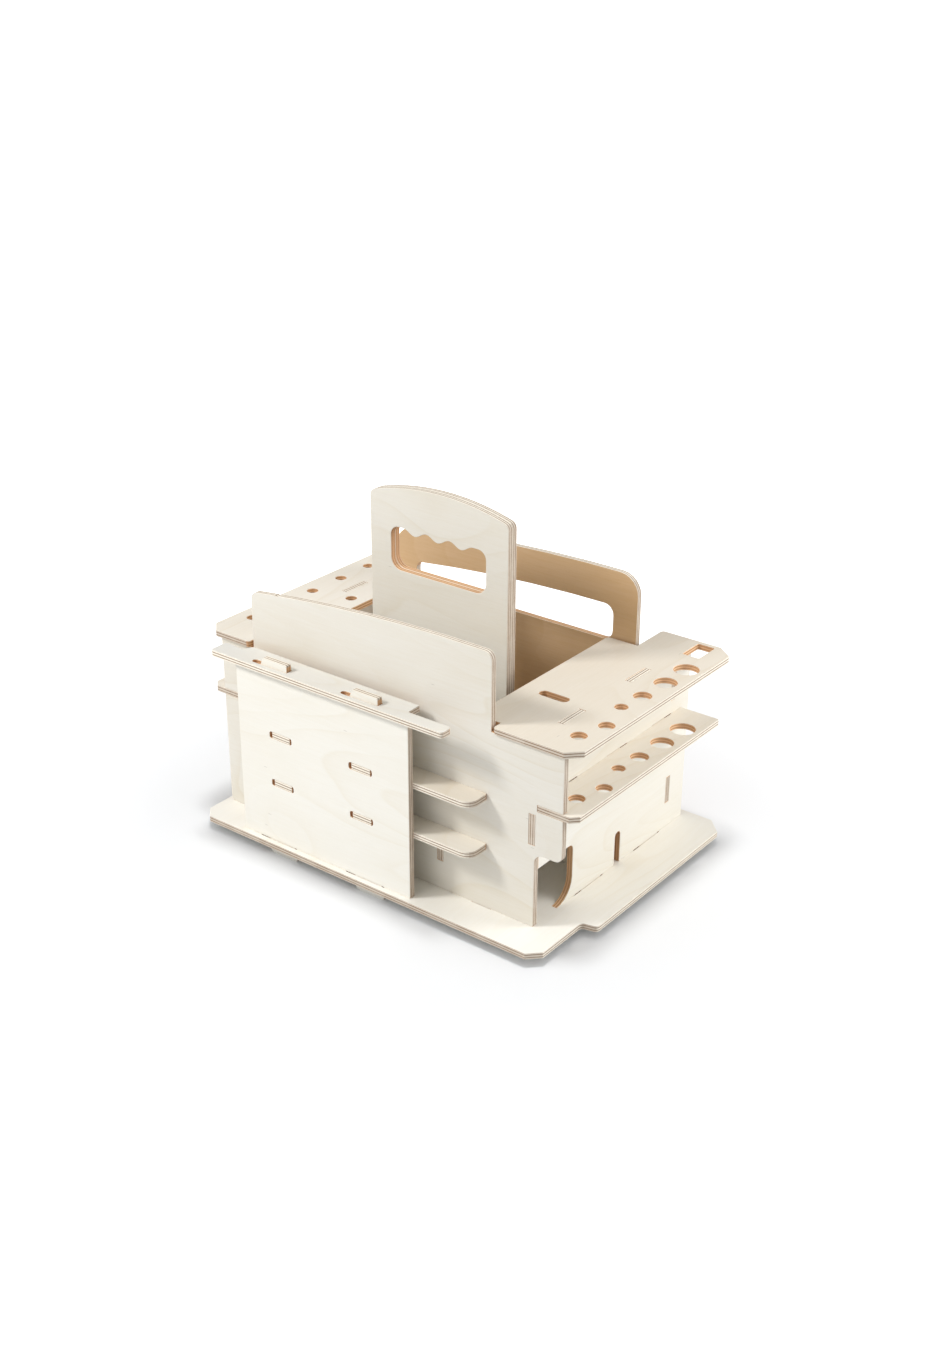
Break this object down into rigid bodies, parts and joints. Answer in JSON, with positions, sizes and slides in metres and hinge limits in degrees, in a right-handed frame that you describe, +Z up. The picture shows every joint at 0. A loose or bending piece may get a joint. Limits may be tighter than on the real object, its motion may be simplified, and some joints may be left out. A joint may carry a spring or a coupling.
{
  "type": "open tool tote",
  "caption": "Open tote of tab-and-slot plywood boards for hand tools, with a grip handle, a front pocket with shelves and pierced end tiers, shaped to stand in a stackable case.",
  "frame": {"origin": "middle of the footprint, in the plane that the hook tabs stand on", "axes": "+X to the right along the long side seen from the front, +Y to the back, -Y is the front with the pocket, +Z up"},
  "size_m": [0.38, 0.259, 0.3014],
  "materials": {
    "base_ply": "bare sanded birch plywood, matt",
    "panel_ply": "bare sanded birch plywood, matt",
    "shelf_ply": "bare sanded birch plywood, matt",
    "wall_ply": "bare sanded birch plywood, matt",
    "handle_ply": "bare sanded birch plywood, matt",
    "tier_ply": "bare sanded birch plywood, matt",
    "divider_ply": "bare sanded birch plywood, matt"
  },
  "bodies": {
    "root": {"base_plate": "base_ply", "front_panel": "panel_ply", "front_top_strip": "panel_ply", "upper_pocket_shelf": "shelf_ply", "lower_pocket_shelf": "shelf_ply", "inner_front_wall": "wall_ply", "rear_wall": "wall_ply", "left_end_wall": "wall_ply", "right_end_wall": "wall_ply", "handle_front_plate": "handle_ply", "handle_rear_plate": "handle_ply", "left_upper_tier": "tier_ply", "right_upper_tier": "tier_ply", "left_mid_tier": "tier_ply", "right_mid_tier": "tier_ply", "front_left_divider": "divider_ply", "front_right_divider": "divider_ply", "rear_left_divider": "divider_ply", "rear_right_divider": "divider_ply"}
  },
  "joints": []
}
